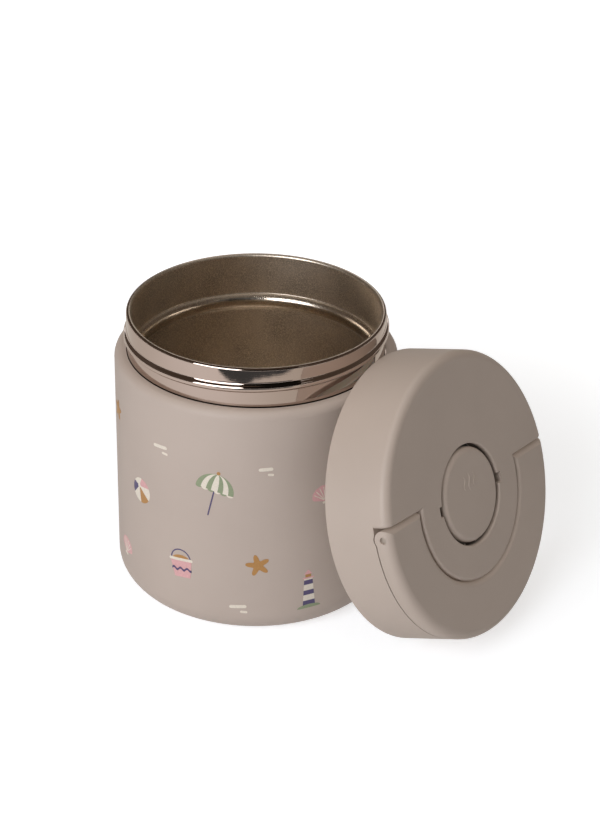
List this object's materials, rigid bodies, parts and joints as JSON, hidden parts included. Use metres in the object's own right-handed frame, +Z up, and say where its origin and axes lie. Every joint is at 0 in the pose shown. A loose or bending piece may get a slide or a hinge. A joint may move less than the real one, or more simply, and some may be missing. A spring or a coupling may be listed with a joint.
{
  "type": "insulated food jar",
  "caption": "Wide-mouthed vacuum food jar with its screw-on lid off and leaned against the neck; the lid has a fold-flat carry handle and a vent button.",
  "frame": {"origin": "centre of the jar's foot, on the floor", "axes": "+Z up along the jar's axis, -Y towards the front; the lid leans on the +X, -Y side"},
  "size_m": [0.1605, 0.141, 0.1086],
  "materials": {
    "painted_shell": "soft matt powder coat",
    "polished_steel": "polished",
    "satin_steel": "blasted satin",
    "base_steel": "satin",
    "lid_plastic": "fine moulded matt",
    "inner_plastic": "moulded satin",
    "pin_steel": "turned",
    "silicone": "silicone",
    "foam": "rigid foam"
  },
  "bodies": {
    "jar": {"outer_shell": "painted_shell", "neck_ring": "polished_steel", "inner_vessel": "satin_steel", "base_cup": "base_steel", "vacuum_seal": "base_steel", "getter": "base_steel"},
    "lid": {"lid_cover": "lid_plastic", "pivot_pin_left": "pin_steel", "pivot_pin_right": "pin_steel", "inner_lid": "inner_plastic", "plug_base": "inner_plastic", "sealing_ring": "silicone", "foam_insert": "foam", "stem_guide": "inner_plastic", "button_spring": "pin_steel"},
    "handle": {"carry_handle": "lid_plastic"},
    "button": {"vent_button": "lid_plastic", "vent_stem": "inner_plastic", "vent_seal": "silicone"}
  },
  "joints": [
    {"name": "lid_lift", "type": "slide", "parent": "jar", "child": "lid", "axis": [0, 0, 1], "range_m": [0, 0.112]},
    {"name": "handle_hinge", "type": "hinge", "parent": "lid", "child": "handle", "pos_m": [0.07457, -0.0449, 0.05815], "axis": [-0.5978, -0.7963, 0.0928], "range_deg": [0, 95]},
    {"name": "button_press", "type": "slide", "parent": "lid", "child": "button", "axis": [-0.7772, 0.5472, -0.3107], "range_m": [0, 0.0022], "stiffness_N_per_m": 400, "springref_m": -0.003, "deforming": ["button_spring"]}
  ]
}
